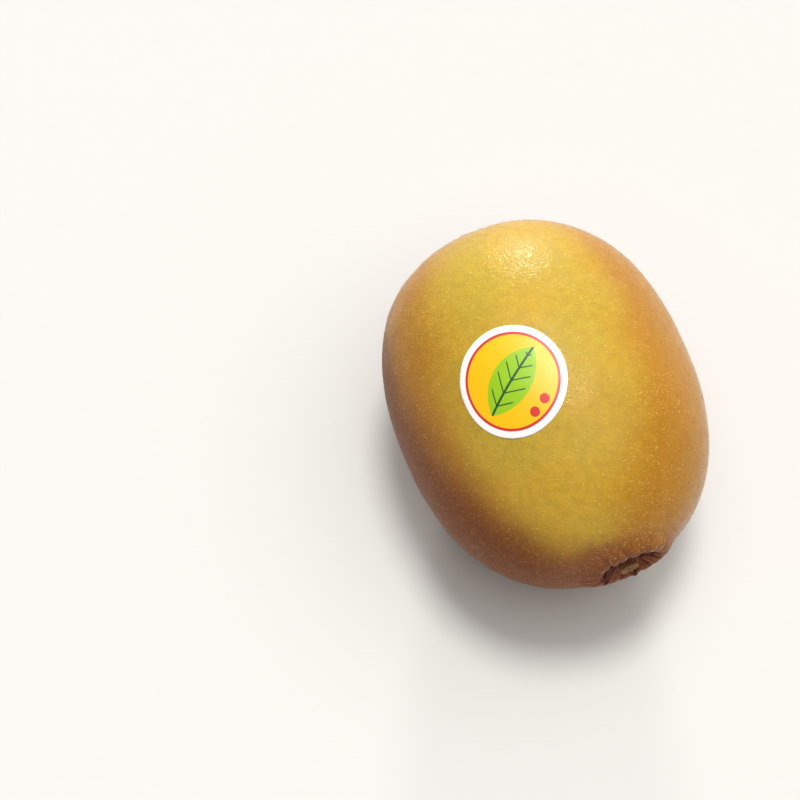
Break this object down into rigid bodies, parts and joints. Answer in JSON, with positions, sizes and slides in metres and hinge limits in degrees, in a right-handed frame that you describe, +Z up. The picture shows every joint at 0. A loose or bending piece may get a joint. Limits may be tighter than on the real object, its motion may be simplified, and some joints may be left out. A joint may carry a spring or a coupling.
{
  "type": "whole golden kiwifruit",
  "caption": "Whole golden kiwifruit lying on its side, an oval fruit with a puckered stem end, a stalk stub with its dried calyx, a tuft of withered styles and a plain label.",
  "frame": {"origin": "middle of the object's box, on the surface that the fruit lies on", "axes": "+X along the fruit's long axis, from the blossom end to the stem end; +Z up from the flat spot that it rests on"},
  "size_m": [0.0716, 0.0546, 0.0526],
  "materials": {
    "skin": "golden-bronze, finely flecked, satin skin",
    "stalk": "broken, dry and woody",
    "dried_sepal": "dried, papery and wrinkled",
    "dried_style": "dried, dark and brittle",
    "label_film": "printed film, satin gloss"
  },
  "bodies": {
    "root": {"fruit": "skin", "stem_stub": "stalk", "calyx": "dried_sepal", "style_tuft": "dried_style", "label": "label_film"}
  },
  "joints": []
}
